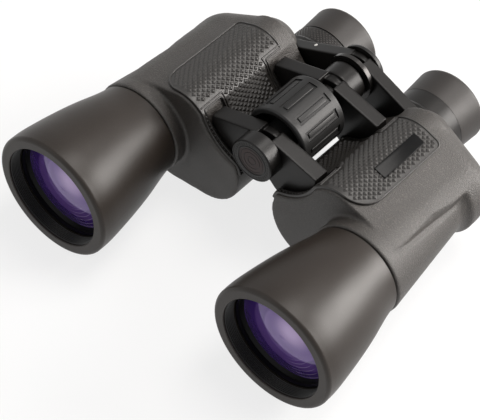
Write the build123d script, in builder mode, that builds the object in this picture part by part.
from build123d import *
import math
import os

# Porro-prism binoculars, 10x50 class, with centre focus.
# Frame: the glass rests on its objective rims. +Z is up, -Y is the way it looks,
# +X is the user's left. The origin is the middle of the bounding box's underside.
# "Station" is the distance behind the front rims, along +Y. Sections are drawn in
# x and z measured from the hinge axis, as seen from the objective end.
# Millimetres throughout.

os.makedirs("parts", exist_ok=True)

# ---- Optical layout ---------------------------------------------------------
overall_length = 179.0
objective_spacing = 132.3
objective_drop = 20.85
eyepiece_spacing = 65.6
eyepiece_drop = 26.4
rim_radius = 33.0

# ---- Clearances -------------------------------------------------------------
running_clearance = 0.05
side_clearance = 0.2
hub_clearance = 0.6
nut_clearance = 0.3

# ---- Objective barrels ------------------------------------------------------
barrel_end = 60.0
barrel_mouth_radius = 27.0
barrel_end_radius = 24.0
barrel_end_slope = -0.12
seam_width = 0.8
seam_depth = 0.8
rim_band_length = 5.0
barrel_waist = ((14.0, 32.3), (28.0, 30.3), (42.0, 27.6))
barrel_wall = 2.6
spigot_radius = 21.0
spigot_length = 6.0
barrel_bore_rear = 18.0
lens_edge_station = 11.5
lens_radius = 25.4
lens_edge_thickness = 8.5
lens_front_curve = 92.0
lens_rear_curve = 260.0
lens_lip = 1.4
cell_wall = 1.2
seat_web = 2.5
retainer_length = 4.0
retainer_mouth = 0.8

# ---- Prism housings ---------------------------------------------------------
face_station = 68.0
cover_station = 136.0
ocular_side_end = 138.0
housing_end = 147.0
shoulder_front_radius = 24.0
shoulder_rear_radius = 21.5
shoulder_end = 122.0
dome_radius = 15.5
ocular_side_radius = 22.5
belly_radius = 18.5
belly_x = 52.0
belly_drop = 32.0
rear_rounding = 15.0
rear_slant = 10.0
edge_rounding = 2.0
small_rounding = 0.5
wheel_relief_radius = 32.0
wheel_relief_x = 4.4
wheel_relief_rise = 14.7

# Objective-side bulge: a cone that narrows behind the barrel and flares into the flange.
bulge_front_radius = 24.8
bulge_waist_station = 114.5
bulge_waist_radius = 18.6
flare_start = (117.2, 19.0)
flare_middle = (119.6, 20.3)

# Fold under the shoulder: station, angle of its crease on the cone and angle of
# its flank, both in degrees up from +X.
fold_rows = (
    (60.5, 47.3, 118.0),
    (97.0, 39.0, 116.0),
    (112.0, 37.4, 72.0),
    (122.0, 37.0, 60.0),
)
fold_overlap = 0.5
fold_reach = 16.0
scoop_reach = 48.0

# ---- Prisms and their shelf -------------------------------------------------
shelf_station = 100.0
shelf_thickness = 4.0
prism_half_width = 11.0
pocket_clearance = 0.4
light_bore_radius = 15.5
light_bore_front_radius = 19.0
pocket_front = 73.0
shelf_window_radius = 9.5

# ---- Grip panels ------------------------------------------------------------
panel_thickness = 1.0
panel_front = 71.0
panel_rear = 127.5
panel_outer_x = 62.0
panel_corner_radius = 9.0
panel_inner_x = 16.5
panel_lower_drop = 19.0
panel_window_margin = 2.0

# ---- Hinge ------------------------------------------------------------------
axle_radius = 4.5
tripod_bush_radius = 8.0
tripod_bush_front = 66.5
axle_end = 135.0
front_arm_front = 72.8
front_arm_rear = 81.5
rear_arm_front = 118.0
rear_arm_rear = 125.7
arm_top = 10.0
arm_slot_half = 4.2
arm_root_x = 31.0
arm_root_rise = 2.5
arm_foot_x = 10.5
arm_foot_drop = 21.3
arm_inner_drop = 15.8
small_hub_radius = 6.4
large_hub_radius = 9.0
rear_hub_radius = 10.5
rear_hub_end = 135.8
nut_radius = 6.8
nut_length = 3.0
tripod_thread_radius = 3.175
tripod_thread_depth = 6.0

# ---- Tripod cap -------------------------------------------------------------
cap_front = 64.7
cap_radius = 11.7
cap_wall = 1.6
inlay_radius = 7.5
inlay_depth = 0.6
inlay_stand = 0.1

# ---- Focus wheel ------------------------------------------------------------
wheel_front = 82.65
wheel_rear = 112.15
wheel_radius = 17.2
wheel_rounding = 1.2
wheel_shell = 2.6
wheel_hub_radius = 8.0
wheel_front_recess = 8.0
wheel_rear_recess = 6.0
pad_count = 12
pad_length = 22.0
pad_width = 5.2
pad_depth = 0.7

# ---- Focus spindle and eyepiece bridge --------------------------------------
spindle_radius = 3.0
spindle_front = 100.0
spindle_bore_front = 95.0
bridge_front = 139.5
bridge_rear = 146.3
bridge_flange_radius = 12.5
bridge_flange_length = 2.2
bridge_cap_radius = 12.0
bridge_cap_length = 3.0
bridge_hub_radius = 9.5
bridge_rise = 9.9
bridge_ring_radius = 21.2
bridge_ring_rear = 151.0
bridge_step = 1.5
bridge_step_height = 0.9
bridge_inner_drop = 12.0
bridge_web_x = 14.0
bridge_web_drop = 22.0
bridge_pocket_gap = 1.2

# ---- Eyepieces --------------------------------------------------------------
guide_radius = 13.5
guide_front = 125.0
guide_wall = 1.5
ocular_front = 124.0
ocular_bore = 11.5
neck_radius = 16.5
collar_radius = 18.8
dioptre_radius = 19.0
dioptre_front_gap = 0.4
dioptre_rear_gap = 0.3
eyecup_station = 161.6
eyecup_front_radius = 18.9
eyecup_rear_radius = 19.8
eyecup_rounding = 2.4
eyecup_mouth = 12.8
eyecup_lip = 2.2
neck_end = 175.5
eye_lens_station = 168.0
eye_lens_radius = 12.4
eye_lens_thickness = 4.5
eye_lens_curve = 45.0
lens_land = 1.0
field_cell_front = 142.0
field_cell_rear = 156.0
field_cell_wall = 1.5
field_lens_station = 147.0
field_lens_thickness = 5.0

# ---- Derived places ---------------------------------------------------------
hinge_height = rim_radius + objective_drop
objective_at = (objective_spacing / 2, -objective_drop)
eyepiece_at = (eyepiece_spacing / 2, -eyepiece_drop)
# The two prisms shift the axis in two equal steps at right angles.
corner_at = (
    (objective_at[0] + eyepiece_at[0] - objective_at[1] + eyepiece_at[1]) / 2,
    (objective_at[1] + eyepiece_at[1] + objective_at[0] - eyepiece_at[0]) / 2,
)
belly_at = (belly_x, -belly_drop)
lens_seat_radius = lens_radius + cell_wall
lens_seat_front = lens_edge_station - retainer_length
prism_throw = math.dist(objective_at, corner_at)


def section(station):
    """Plane across the glass at a station, seen from the front, hinge axis at its origin."""
    return Plane(
        origin=(0, station - overall_length / 2, hinge_height),
        x_dir=(1, 0, 0),
        z_dir=(0, -1, 0),
    )


def turning(centre):
    """Plane for a turned profile: local x is the station, local y the radius."""
    return Plane(
        origin=(centre[0], -overall_length / 2, hinge_height + centre[1]),
        x_dir=(0, 1, 0),
        z_dir=(0, 0, 1),
    )


def turning_axis(centre):
    """Axis of a turned piece, along the glass."""
    return Axis((centre[0], 0, hinge_height + centre[1]), (0, 1, 0))


def save(piece, name):
    """Label a finished piece and write it."""
    piece.label = name
    export_step(piece, f"parts/{name}.step")


def turned(centre, points):
    """Turn a closed profile of (station, radius) points about an axis along the glass."""
    with BuildPart() as piece:
        with BuildSketch(turning(centre)):
            with BuildLine():
                Polyline(*points, close=True)
            make_face()
        revolve(axis=turning_axis(centre))
    return piece.part


def sided(piece, side):
    """Place a piece drawn for the user's left (+X) on the named side."""
    if side == "left":
        return piece
    with BuildPart() as mirrored:
        add(piece)
        mirror(about=Plane.YZ, mode=Mode.REPLACE)
    return mirrored.part


# ---- Housing form -----------------------------------------------------------


def cone_radius(station):
    """Radius of the objective-side bulge at a station."""
    share = (station - barrel_end) / (bulge_waist_station - barrel_end)
    return bulge_front_radius + share * (bulge_waist_radius - bulge_front_radius)


def shoulder_radius(station):
    """Radius of the housing's shoulder over the objective at a station."""
    share = min((station - face_station) / (shoulder_end - face_station), 1.0)
    return shoulder_front_radius + share * (shoulder_rear_radius - shoulder_front_radius)


def polar(centre, radius, angle):
    """Point at a radius and an angle in degrees about a centre."""
    turn = math.radians(angle)
    return (centre[0] + radius * math.cos(turn), centre[1] + radius * math.sin(turn))


def objective_side(station):
    """Outline of the block over the rear prism at a station."""
    with BuildSketch() as outline:
        with Locations(objective_at):
            Circle(shoulder_radius(station))
        with Locations(corner_at):
            Circle(dome_radius)
        with Locations(belly_at):
            Circle(belly_radius)
        make_hull()
    return outline.sketch


def scoop_outline(station, crease_angle, flank_angle):
    """Region under the shoulder: the flank of the fold, then all that lies below it."""
    crease = polar(objective_at, cone_radius(station), crease_angle)
    top = polar(crease, fold_reach, flank_angle)
    far = objective_at[0] + scoop_reach
    low = objective_at[1] - scoop_reach
    with BuildSketch() as outline:
        with BuildLine():
            Polyline(
                polar(crease, -fold_overlap, flank_angle),
                top,
                (far, top[1]),
                (far, low),
                (objective_at[0], low),
                objective_at,
                close=True,
            )
        make_face()
    return outline.sketch


def make_housing_form():
    """Solid outer form of the left housing, from its front face to its rounded end."""
    bridge_clear = bridge_outline(bridge_pocket_gap)
    front_outline = objective_side(face_station)
    rear_outline = objective_side(shoulder_end)
    scoops = [(row[0], scoop_outline(*row)) for row in fold_rows]
    with BuildPart() as form:
        # Objective-side block, over the rear prism: its shoulder narrows to the rear,
        # and its end slants forwards towards the outer flank and is rounded.
        with BuildSketch(section(shoulder_end)):
            add(rear_outline)
        extrude(amount=shoulder_end - overall_length)
        slant = Plane(
            origin=(corner_at[0], housing_end - overall_length / 2, 0),
            z_dir=(math.tan(math.radians(rear_slant)), 1, 0),
        )
        split(bisect_by=slant, keep=Keep.BOTTOM)
        rear_face = form.faces().sort_by(Axis(slant.origin, slant.z_dir))[-1]
        fillet(rear_face.edges(), rear_rounding)
        with BuildSketch(section(face_station)):
            add(front_outline)
        with BuildSketch(section(shoulder_end)):
            add(rear_outline)
        loft(ruled=True)
        # Seat of the eyepiece bridge, cut round the eyepiece behind the housing.
        with BuildSketch(section(housing_end)):
            with Locations(eyepiece_at):
                Circle(bridge_ring_radius + bridge_pocket_gap)
            add(bridge_clear)
        extrude(amount=housing_end - ocular_side_end, mode=Mode.SUBTRACT)
        # Eyepiece-side block, over the front prism, shorter and hollowed round the wheel.
        with BuildSketch(section(ocular_side_end)):
            with Locations(corner_at):
                Circle(dome_radius)
            with Locations(eyepiece_at):
                Circle(ocular_side_radius)
            with Locations(belly_at):
                Circle(belly_radius)
            make_hull()
        extrude(amount=ocular_side_end - face_station)
        with BuildSketch(section(ocular_side_end)):
            with Locations((wheel_relief_x, wheel_relief_rise)):
                Circle(wheel_relief_radius)
        extrude(amount=ocular_side_end - face_station, mode=Mode.SUBTRACT)
        # Scoop under the shoulder, with the bulge left standing in it.
        for station, outline in scoops:
            with BuildSketch(section(station)):
                add(outline)
        loft(ruled=True, mode=Mode.SUBTRACT)
        with BuildSketch(turning(objective_at)):
            with BuildLine():
                flare = Spline(
                    (bulge_waist_station, bulge_waist_radius),
                    flare_start,
                    flare_middle,
                    (shoulder_end, shoulder_rear_radius),
                    tangents=[
                        (
                            bulge_waist_station - barrel_end,
                            bulge_waist_radius - bulge_front_radius,
                        ),
                        (1, 0),
                    ],
                )
                Polyline(
                    flare @ 1,
                    (shoulder_end, 0),
                    (barrel_end, 0),
                    (barrel_end, bulge_front_radius - small_rounding),
                    (barrel_end + small_rounding, cone_radius(barrel_end + small_rounding)),
                    flare @ 0,
                )
            make_face()
        revolve(axis=turning_axis(objective_at))
    return form.part


def bridge_outline(margin=0.0):
    """Section of one bridge arm, from its hinge slot to its eyepiece ring, grown by a margin."""
    # The top edge runs on as a tangent of the eyepiece ring.
    run = arm_slot_half - eyepiece_at[0]
    rise = bridge_rise - eyepiece_at[1]
    touch_angle = math.atan2(rise, run) - math.acos(bridge_ring_radius / math.hypot(run, rise))
    touch = (
        eyepiece_at[0] + bridge_ring_radius * math.cos(touch_angle),
        eyepiece_at[1] + bridge_ring_radius * math.sin(touch_angle),
    )
    with BuildSketch() as outline:
        with BuildLine():
            Polyline(
                (arm_slot_half, bridge_rise),
                touch,
                eyepiece_at,
                (bridge_web_x, -bridge_web_drop),
                (arm_slot_half, -bridge_inner_drop),
                close=True,
            )
        make_face()
        if margin:
            offset(amount=margin)
    return outline.sketch


# ---- Housing pieces ---------------------------------------------------------


def make_housing(form):
    """Housing: the form in front of its cover, with prism pockets and the light bore."""
    with BuildPart() as housing:
        add(form)
        split(bisect_by=section(cover_station), keep=Keep.TOP)
        # Pocket of the rear prism and of the shelf, open towards the cover.
        with BuildSketch(section(cover_station)):
            with Locations(objective_at, eyepiece_at):
                Circle(light_bore_radius)
            with Locations(corner_at):
                Circle(prism_half_width + pocket_clearance)
            make_hull()
        extrude(amount=cover_station - shelf_station, mode=Mode.SUBTRACT)
        # Pocket of the front prism.
        with BuildSketch(section(shelf_station)):
            with Locations(corner_at, eyepiece_at):
                Circle(prism_half_width + pocket_clearance)
            make_hull()
        extrude(amount=shelf_station - pocket_front, mode=Mode.SUBTRACT)
        # Seat of the barrel's spigot, and the tapered light bore behind it.
        spigot_end = barrel_end + spigot_length
        with BuildSketch(turning(objective_at)):
            with BuildLine():
                Polyline(
                    (barrel_end, 0),
                    (barrel_end, spigot_radius),
                    (spigot_end, spigot_radius),
                    (spigot_end, light_bore_front_radius),
                    (shelf_station, light_bore_radius),
                    (shelf_station, 0),
                    close=True,
                )
            make_face()
        revolve(axis=turning_axis(objective_at), mode=Mode.SUBTRACT)
    return housing.part


def make_rear_cover(form):
    """Rear cover: the form behind the housing, with the guide tube of the ocular."""
    with BuildPart() as cover:
        add(form)
        split(bisect_by=section(cover_station), keep=Keep.BOTTOM)
        with BuildSketch(section(ocular_side_end)):
            with Locations(eyepiece_at):
                Circle(guide_radius + guide_wall)
        extrude(amount=ocular_side_end - guide_front)
        with BuildSketch(section(ocular_side_end)):
            with Locations(eyepiece_at):
                Circle(guide_radius + running_clearance)
        extrude(amount=ocular_side_end - guide_front, mode=Mode.SUBTRACT)
    return cover.part


def make_shelf():
    """Prism shelf: the plate between the prisms, with a window at each turn of the light."""
    with BuildPart() as shelf:
        with BuildSketch(section(shelf_station + shelf_thickness)):
            with Locations(objective_at, eyepiece_at):
                Circle(light_bore_radius - running_clearance)
            with Locations(corner_at):
                Circle(prism_half_width + pocket_clearance - running_clearance)
            make_hull()
            with Locations(objective_at, corner_at, eyepiece_at):
                Circle(shelf_window_radius, mode=Mode.SUBTRACT)
        extrude(amount=shelf_thickness)
    return shelf.part


def make_prism(start, end, base_station, forward):
    """Right-angle prism with rounded ends, its long face at base_station."""
    middle = ((start[0] + end[0]) / 2, (start[1] + end[1]) / 2)
    along = (end[0] - start[0], 0, end[1] - start[1])
    apex = prism_throw if forward else -prism_throw
    with BuildPart() as prism:
        with BuildSketch(section(base_station)):
            with Locations(start, end):
                Circle(prism_half_width)
            make_hull()
        extrude(amount=apex)
        roof = Plane(
            origin=(
                middle[0],
                base_station - overall_length / 2,
                hinge_height + middle[1],
            ),
            x_dir=along,
            z_dir=Vector(along).cross(Vector(0, -1, 0)),
        )
        with BuildSketch(roof):
            with BuildLine():
                Polyline((-prism_throw, 0), (prism_throw, 0), (0, apex), close=True)
            make_face()
        extrude(amount=prism_half_width, both=True, mode=Mode.INTERSECT)
    return prism.part


def dome_outline(station):
    """Outer outline of the grip panel's layer over the prisms at a station."""
    with BuildSketch() as outline:
        with Locations(objective_at):
            Circle(shoulder_radius(station))
        with Locations(corner_at):
            Circle(dome_radius)
        with Locations(eyepiece_at):
            Circle(ocular_side_radius)
        make_hull()
        with Locations((wheel_relief_x, wheel_relief_rise)):
            Circle(wheel_relief_radius, mode=Mode.SUBTRACT)
        offset(amount=panel_thickness)
    return outline.sketch


def make_grip_panel(form, arms):
    """Raised grip panel wrapped over the dome, with a window round each hinge arm."""
    arm_section = arm_outline()
    front_outline = dome_outline(panel_front)
    rear_outline = dome_outline(shoulder_end)
    with BuildPart() as panel:
        with BuildSketch(section(panel_front)):
            add(front_outline)
        with BuildSketch(section(shoulder_end)):
            add(rear_outline)
        loft(ruled=True)
        with BuildSketch(section(panel_rear)):
            add(rear_outline)
        extrude(amount=panel_rear - shoulder_end)
        with BuildSketch(Plane.XY.offset(hinge_height - panel_lower_drop)):
            outline_width = panel_outer_x - panel_inner_x
            with Locations(
                (
                    (panel_outer_x + panel_inner_x) / 2,
                    (panel_front + panel_rear - overall_length) / 2,
                )
            ):
                RectangleRounded(outline_width, panel_rear - panel_front, panel_corner_radius)
        extrude(amount=2 * hinge_height, mode=Mode.INTERSECT)
        add(form, mode=Mode.SUBTRACT)
        for front, rear in arms:
            with BuildSketch(section(rear + panel_window_margin)):
                add(arm_section)
                offset(amount=panel_window_margin)
            extrude(amount=rear - front + 2 * panel_window_margin, mode=Mode.SUBTRACT)
    return panel.part


# ---- Hinge arms -------------------------------------------------------------


def arm_outline():
    """Section of one hinge arm, from the slot over the axle into the housing's flank."""
    with BuildSketch() as outline:
        with BuildLine():
            Polyline(
                (arm_slot_half, arm_top),
                (arm_root_x, arm_root_rise),
                (eyepiece_at[0], -arm_inner_drop),
                (arm_foot_x, -arm_foot_drop),
                (arm_slot_half, -arm_inner_drop),
                close=True,
            )
        make_face()
    return outline.sketch


def make_hinge_arm(form, plate, hub, hub_radius, other_hub, other_radius, bore):
    """Hinge arm: a plate from the housing to its own hub, cleared for the other arm's hub."""
    arm_section = arm_outline()
    with BuildPart() as arm:
        with BuildSketch(section(plate[1])):
            add(arm_section)
        extrude(amount=plate[1] - plate[0])
        add(form, mode=Mode.SUBTRACT)
        with BuildSketch(section(other_hub[1] + side_clearance)):
            Circle(other_radius + hub_clearance)
        extrude(amount=other_hub[1] - other_hub[0] + 2 * side_clearance, mode=Mode.SUBTRACT)
        with BuildSketch(section(hub[1])):
            Circle(hub_radius)
        extrude(amount=hub[1] - hub[0])
        with BuildSketch(section(hub[1])):
            Circle(bore)
        extrude(amount=hub[1] - hub[0], mode=Mode.SUBTRACT)
    return arm.part


def add_rear_barrel(arm):
    """Right rear arm with its hub carried on as a barrel, recessed for the axle nut."""
    with BuildPart() as barrelled:
        add(arm)
        with BuildSketch(section(rear_hub_end)):
            Circle(rear_hub_radius)
        extrude(amount=rear_hub_end - rear_arm_rear - side_clearance)
        with BuildSketch(section(rear_arm_rear + side_clearance)):
            Circle(large_hub_radius)
        extrude(amount=side_clearance)
        with BuildSketch(section(rear_hub_end)):
            Circle(axle_radius + running_clearance)
        extrude(amount=rear_hub_end - rear_arm_rear, mode=Mode.SUBTRACT)
        with BuildSketch(section(rear_hub_end)):
            Circle(nut_radius + nut_clearance)
        extrude(amount=nut_length + 2 * side_clearance, mode=Mode.SUBTRACT)
        rim = barrelled.edges().filter_by(GeomType.CIRCLE).group_by(Axis.Y)[-1]
        fillet(rim.sort_by(SortBy.RADIUS)[-1], small_rounding)
    return barrelled.part


def make_tripod_bush():
    """Bush on the front end of the axle, with the tripod thread through it."""
    with BuildPart() as bush:
        with BuildSketch(section(tripod_bush_front + tripod_thread_depth)):
            Circle(tripod_bush_radius)
            Circle(tripod_thread_radius, mode=Mode.SUBTRACT)
        extrude(amount=tripod_thread_depth)
    return bush.part


def make_axle():
    """Hinge axle: it ends at the tripod bush, and its rear end is bored for the spindle."""
    axle_front = tripod_bush_front + tripod_thread_depth
    return turned(
        (0, 0),
        (
            (axle_front, 0),
            (axle_front, axle_radius),
            (axle_end, axle_radius),
            (axle_end, spindle_radius + running_clearance),
            (spindle_bore_front, spindle_radius + running_clearance),
            (spindle_bore_front, 0),
        ),
    )


def make_axle_nut():
    """Hexagon nut on the rear end of the axle, sunk in the right arm's barrel."""
    nut_rear = rear_hub_end - side_clearance
    with BuildPart() as nut:
        with BuildSketch(section(nut_rear)):
            RegularPolygon(nut_radius, 6)
            Circle(axle_radius, mode=Mode.SUBTRACT)
        extrude(amount=nut_length)
    return nut.part


# ---- Tripod cap -------------------------------------------------------------


def make_tripod_cap():
    """Round cap screwed over the tripod bush, with a recess for its inlay."""
    with BuildPart() as cap:
        with BuildSketch(turning((0, 0))):
            with BuildLine():
                Polyline(
                    (cap_front + inlay_depth, 0),
                    (cap_front + inlay_depth, inlay_radius),
                    (cap_front, inlay_radius),
                    (cap_front, cap_radius),
                    (front_arm_front - side_clearance, cap_radius),
                    (front_arm_front - side_clearance, tripod_bush_radius + running_clearance),
                    (cap_front + cap_wall, tripod_bush_radius + running_clearance),
                    (cap_front + cap_wall, 0),
                    close=True,
                )
            make_face()
        revolve(axis=turning_axis((0, 0)))
        outer = cap.edges().filter_by(GeomType.CIRCLE).group_by(SortBy.RADIUS)[-1]
        fillet(outer.group_by(Axis.Y)[0], small_rounding)
    return cap.part


def make_cap_inlay():
    """Thin disc let into the front of the tripod cap."""
    with BuildPart() as inlay:
        with BuildSketch(section(cap_front + inlay_depth)):
            Circle(inlay_radius)
        extrude(amount=inlay_depth - inlay_stand)
    return inlay.part


# ---- Focus wheel, spindle and bridge ----------------------------------------


def make_focus_wheel():
    """Focus wheel: a rim and web on a long hub, with shallow grip pads sunk in the rim."""
    hub_front = front_arm_rear + side_clearance
    hub_rear = rear_arm_front - side_clearance
    front_floor = wheel_front + wheel_front_recess
    rear_floor = wheel_rear - wheel_rear_recess
    rim_inside = wheel_radius - wheel_shell
    bore = axle_radius + running_clearance
    with BuildPart() as wheel:
        with BuildSketch(turning((0, 0))):
            with BuildLine():
                Polyline(
                    (hub_front, bore),
                    (hub_front, wheel_hub_radius),
                    (front_floor, wheel_hub_radius),
                    (front_floor, rim_inside),
                    (wheel_front, rim_inside),
                    (wheel_front, wheel_radius),
                    (wheel_rear, wheel_radius),
                    (wheel_rear, rim_inside),
                    (rear_floor, rim_inside),
                    (rear_floor, wheel_hub_radius),
                    (hub_rear, wheel_hub_radius),
                    (hub_rear, bore),
                    close=True,
                )
            make_face()
        revolve(axis=turning_axis((0, 0)))
        rim = wheel.edges().filter_by(GeomType.CIRCLE).group_by(SortBy.RADIUS)[-1]
        fillet(rim, wheel_rounding)
        pad_middle = (wheel_front + wheel_rear) / 2
        with BuildSketch(section(pad_middle + pad_length / 2)):
            with PolarLocations(wheel_radius, pad_count):
                Rectangle(2 * pad_depth, pad_width)
        extrude(amount=pad_length, mode=Mode.SUBTRACT)
    return wheel.part


def make_focus_spindle():
    """Focus spindle: the rod from the axle's bore through the bridge into its cap."""
    spindle_rear = bridge_rear + bridge_cap_length / 2
    with BuildPart() as spindle:
        with BuildSketch(section(spindle_rear)):
            Circle(spindle_radius)
        extrude(amount=spindle_rear - spindle_front)
    return spindle.part


def make_spindle_flange():
    """Flange fixed on the spindle, which pushes the bridge arms."""
    with BuildPart() as flange:
        with BuildSketch(section(bridge_front - side_clearance)):
            Circle(bridge_flange_radius)
            Circle(spindle_radius, mode=Mode.SUBTRACT)
        extrude(amount=bridge_flange_length)
    return flange.part


def make_bridge_cap():
    """Cap that holds the bridge arms on the spindle."""
    cap_start = bridge_rear + side_clearance
    with BuildPart() as cap:
        with BuildSketch(section(cap_start + bridge_cap_length)):
            Circle(bridge_cap_radius)
        extrude(amount=bridge_cap_length)
        fillet(cap.edges().group_by(Axis.Y)[-1], edge_rounding)
        with BuildSketch(section(bridge_rear + bridge_cap_length / 2)):
            Circle(spindle_radius)
        extrude(amount=bridge_cap_length, mode=Mode.SUBTRACT)
    return cap.part


def make_bridge_arm(hub, hub_radius, other_hub, other_radius, bore):
    """Bridge arm: a plate from its hub on the spindle to the ring that holds the ocular."""
    arm_section = bridge_outline()
    with BuildPart() as arm:
        with BuildSketch(section(bridge_rear)):
            add(arm_section)
        extrude(amount=bridge_rear - bridge_front)
        with BuildSketch(section(bridge_ring_rear - bridge_step)):
            with Locations(eyepiece_at):
                Circle(bridge_ring_radius)
        extrude(amount=bridge_ring_rear - bridge_step - bridge_front)
        with BuildSketch(section(bridge_ring_rear)):
            with Locations(eyepiece_at):
                Circle(bridge_ring_radius - bridge_step_height)
        extrude(amount=bridge_step)
        with BuildSketch(section(bridge_ring_rear)):
            with Locations(eyepiece_at):
                Circle(guide_radius)
        extrude(amount=bridge_ring_rear - bridge_front, mode=Mode.SUBTRACT)
        with BuildSketch(section(other_hub[1] + side_clearance)):
            Circle(other_radius + hub_clearance)
        extrude(amount=other_hub[1] - other_hub[0] + 2 * side_clearance, mode=Mode.SUBTRACT)
        with BuildSketch(section(hub[1])):
            Circle(hub_radius)
        extrude(amount=hub[1] - hub[0])
        with BuildSketch(section(hub[1])):
            Circle(bore)
        extrude(amount=hub[1] - hub[0], mode=Mode.SUBTRACT)
    return arm.part


# ---- Objective barrel and its glass -----------------------------------------


def make_barrel():
    """Objective barrel: a flared tube with a rounded rim and a spigot into the housing."""
    cell_end = lens_edge_station + lens_edge_thickness + lens_lip
    inner_wall = [(station, radius - barrel_wall) for station, radius in barrel_waist[1:]]
    with BuildPart() as barrel:
        with BuildSketch(turning(objective_at)):
            with BuildLine():
                flare = Spline(
                    (rim_band_length, rim_radius),
                    *barrel_waist,
                    (barrel_end - seam_width, barrel_end_radius),
                    tangents=[(1, 0), (1, barrel_end_slope)],
                )
                Polyline(
                    flare @ 1,
                    (barrel_end - seam_width, barrel_end_radius - seam_depth),
                    (barrel_end, barrel_end_radius - seam_depth),
                    (barrel_end, spigot_radius),
                    (barrel_end + spigot_length, spigot_radius),
                    (barrel_end + spigot_length, barrel_bore_rear),
                    *reversed(inner_wall),
                    (cell_end + seat_web, inner_wall[0][1]),
                    (cell_end + seat_web, lens_radius - lens_lip),
                    (cell_end, lens_radius - lens_lip),
                    (cell_end, lens_seat_radius),
                    (lens_seat_front, lens_seat_radius),
                    (lens_seat_front, barrel_mouth_radius),
                    (0, barrel_mouth_radius),
                    (0, rim_radius),
                    flare @ 0,
                )
            make_face()
        revolve(axis=turning_axis(objective_at))
        rim = barrel.edges().filter_by(GeomType.CIRCLE).group_by(Axis.Y)[0]
        fillet(rim.sort_by(SortBy.RADIUS)[-1], edge_rounding)
        fillet(rim.sort_by(SortBy.RADIUS)[0], small_rounding)
    return barrel.part


def make_lens_retainer():
    """Ring screwed in front of the objective lens, flared towards the mouth."""
    middle = lens_seat_front + retainer_length / 2
    return turned(
        objective_at,
        (
            (lens_seat_front, lens_seat_radius),
            (lens_seat_front, lens_seat_radius - retainer_mouth),
            (middle, lens_seat_radius - retainer_mouth),
            (middle, lens_radius),
            (lens_edge_station, lens_radius - retainer_mouth),
            (lens_edge_station, lens_seat_radius),
        ),
    )


def make_lens_cell():
    """Ring that seats the objective lens in the barrel."""
    lens_back = lens_edge_station + lens_edge_thickness
    return turned(
        objective_at,
        (
            (lens_edge_station, lens_seat_radius),
            (lens_edge_station, lens_radius),
            (lens_back, lens_radius),
            (lens_back, lens_radius - lens_lip),
            (lens_back + lens_lip, lens_radius - lens_lip),
            (lens_back + lens_lip, lens_seat_radius),
        ),
    )


def make_lens(centre, radius, clear_radius, front_edge, rear_edge, front_curve, rear_curve):
    """Lens with two convex faces inside a flat land, on which it seats."""
    front_sag = front_curve - math.sqrt(front_curve**2 - clear_radius**2)
    rear_sag = rear_curve - math.sqrt(rear_curve**2 - clear_radius**2)
    front_vertex = (front_edge - front_sag, 0)
    rear_vertex = (rear_edge + rear_sag, 0)
    with BuildPart() as lens:
        with BuildSketch(turning(centre)):
            with BuildLine():
                TangentArc(front_vertex, (front_edge, clear_radius), tangent=(0, 1))
                Polyline(
                    (front_edge, clear_radius),
                    (front_edge, radius),
                    (rear_edge, radius),
                    (rear_edge, clear_radius),
                )
                TangentArc(rear_vertex, (rear_edge, clear_radius), tangent=(0, 1))
                Line(rear_vertex, front_vertex)
            make_face()
        revolve(axis=turning_axis(centre))
    return lens.part


# ---- Oculars ----------------------------------------------------------------


def make_ocular_tube():
    """Ocular tube: it slides in the cover's guide and carries the eyecup on its neck."""
    return turned(
        eyepiece_at,
        (
            (ocular_front, ocular_bore),
            (ocular_front, guide_radius),
            (bridge_ring_rear, guide_radius),
            (bridge_ring_rear, neck_radius),
            (neck_end, neck_radius),
            (neck_end, eye_lens_radius),
            (eye_lens_station, eye_lens_radius),
            (eye_lens_station, ocular_bore),
        ),
    )


def add_collar(tube):
    """Left ocular tube: a fixed collar where the right one carries the dioptre ring."""
    with BuildPart() as collared:
        add(tube)
        with BuildSketch(section(eyecup_station)):
            with Locations(eyepiece_at):
                Circle(collar_radius)
                Circle(neck_radius, mode=Mode.SUBTRACT)
        extrude(amount=eyecup_station - bridge_ring_rear)
    return collared.part


def make_dioptre_ring():
    """Dioptre ring that turns on the right ocular's neck, in front of its eyecup."""
    front = bridge_ring_rear + dioptre_front_gap
    rear = eyecup_station - dioptre_rear_gap
    with BuildPart() as ring:
        with BuildSketch(section(rear)):
            with Locations(eyepiece_at):
                Circle(dioptre_radius)
                Circle(neck_radius + running_clearance, mode=Mode.SUBTRACT)
        extrude(amount=rear - front)
        outer = ring.edges().filter_by(GeomType.CIRCLE).group_by(SortBy.RADIUS)[-1]
        chamfer(outer, small_rounding)
    return ring.part


def make_eyecup():
    """Rubber eyecup over the ocular's neck, with a lip round the eye lens."""
    with BuildPart() as cup:
        with BuildSketch(turning(eyepiece_at)):
            with BuildLine():
                Polyline(
                    (eyecup_station, neck_radius),
                    (eyecup_station, eyecup_front_radius),
                    (overall_length - eyecup_rounding, eyecup_rear_radius),
                    (overall_length, eyecup_rear_radius),
                    (overall_length, eyecup_mouth + eyecup_lip),
                    (neck_end, eyecup_mouth),
                    (neck_end, neck_radius),
                    close=True,
                )
            make_face()
        revolve(axis=turning_axis(eyepiece_at))
        end = cup.edges().filter_by(GeomType.CIRCLE).group_by(Axis.Y)[-1]
        fillet(end.sort_by(SortBy.RADIUS)[-1], eyecup_rounding)
    return cup.part


def make_field_cell():
    """Sleeve that carries the field lens inside the ocular tube."""
    outer = ocular_bore - running_clearance
    return turned(
        eyepiece_at,
        (
            (field_cell_front, outer - field_cell_wall),
            (field_cell_front, outer),
            (field_cell_rear, outer),
            (field_cell_rear, outer - field_cell_wall),
        ),
    )


# ---- Build ------------------------------------------------------------------

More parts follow.
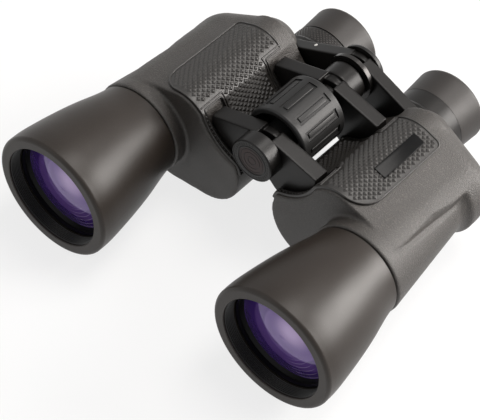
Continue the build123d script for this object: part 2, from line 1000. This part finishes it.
form = make_housing_form()
front_middle = (front_arm_front + front_arm_rear) / 2
rear_middle = (rear_arm_front + rear_arm_rear) / 2
bridge_middle = (bridge_front + bridge_rear) / 2
half_gap = side_clearance / 2
arm_plates = ((front_arm_front, front_arm_rear), (rear_arm_front, rear_arm_rear))

# Pieces that both halves share, mirrored for the right one.
field_lens_radius = ocular_bore - running_clearance - field_cell_wall
shared = {
    "housing": make_housing(form),
    "rear_cover": make_rear_cover(form),
    "prism_shelf": make_shelf(),
    "front_prism": make_prism(corner_at, eyepiece_at, shelf_station, True),
    "rear_prism": make_prism(
        objective_at, corner_at, shelf_station + shelf_thickness, False
    ),
    "grip_panel": make_grip_panel(form, arm_plates),
    "objective_barrel": make_barrel(),
    "lens_retainer": make_lens_retainer(),
    "lens_cell": make_lens_cell(),
    "objective_lens": make_lens(
        objective_at,
        lens_radius,
        lens_radius - lens_lip,
        lens_edge_station,
        lens_edge_station + lens_edge_thickness,
        lens_front_curve,
        lens_rear_curve,
    ),
    "field_lens_cell": make_field_cell(),
    "field_lens": make_lens(
        eyepiece_at,
        field_lens_radius,
        field_lens_radius - lens_land,
        field_lens_station,
        field_lens_station + field_lens_thickness,
        eye_lens_curve,
        eye_lens_curve,
    ),
    "eye_lens": make_lens(
        eyepiece_at,
        eye_lens_radius,
        eye_lens_radius - lens_land,
        eye_lens_station,
        eye_lens_station + eye_lens_thickness,
        eye_lens_curve,
        eye_lens_curve,
    ),
    "eyecup": make_eyecup(),
}
for side in ("left", "right"):
    for name, piece in shared.items():
        save(sided(piece, side), f"{side}_{name}")

ocular_tube = make_ocular_tube()
save(add_collar(ocular_tube), "left_ocular_tube")
save(sided(ocular_tube, "right"), "right_ocular_tube")
save(sided(make_dioptre_ring(), "right"), "dioptre_ring")

# The left arms are fixed to the axle; the right arms turn on it.
left_front_hub = (front_arm_front - side_clearance, front_middle - half_gap)
right_front_hub = (front_middle + half_gap, front_arm_rear)
left_rear_hub = (rear_arm_front, rear_middle - half_gap)
right_rear_hub = (rear_middle + half_gap, rear_arm_rear)
turning_bore = axle_radius + running_clearance
left_front_arm = make_hinge_arm(
    form,
    arm_plates[0],
    left_front_hub,
    small_hub_radius,
    right_front_hub,
    large_hub_radius,
    axle_radius,
)
right_front_arm = make_hinge_arm(
    form,
    arm_plates[0],
    right_front_hub,
    large_hub_radius,
    left_front_hub,
    small_hub_radius,
    turning_bore,
)
left_rear_arm = make_hinge_arm(
    form,
    arm_plates[1],
    left_rear_hub,
    small_hub_radius,
    right_rear_hub,
    large_hub_radius,
    axle_radius,
)
right_rear_arm = make_hinge_arm(
    form,
    arm_plates[1],
    right_rear_hub,
    large_hub_radius,
    left_rear_hub,
    small_hub_radius,
    turning_bore,
)
save(left_front_arm, "left_front_arm")
save(sided(right_front_arm, "right"), "right_front_arm")
save(left_rear_arm, "left_rear_arm")
save(sided(add_rear_barrel(right_rear_arm), "right"), "right_rear_arm")

# The spindle is fixed to the left bridge arm; the right one turns on it.
left_bridge_hub = (bridge_front, bridge_middle - half_gap)
right_bridge_hub = (bridge_middle + half_gap, bridge_rear)
left_bridge_arm = make_bridge_arm(
    left_bridge_hub,
    small_hub_radius,
    right_bridge_hub,
    bridge_hub_radius,
    spindle_radius,
)
right_bridge_arm = make_bridge_arm(
    right_bridge_hub,
    bridge_hub_radius,
    left_bridge_hub,
    small_hub_radius,
    spindle_radius + running_clearance,
)
save(left_bridge_arm, "left_bridge_arm")
save(sided(right_bridge_arm, "right"), "right_bridge_arm")

save(make_axle(), "hinge_axle")
save(make_tripod_bush(), "tripod_bush")
save(make_axle_nut(), "axle_nut")
save(make_tripod_cap(), "tripod_cap")
save(make_cap_inlay(), "tripod_cap_inlay")
save(make_focus_wheel(), "focus_wheel")
save(make_focus_spindle(), "focus_spindle")
save(make_spindle_flange(), "spindle_flange")
save(make_bridge_cap(), "bridge_cap")
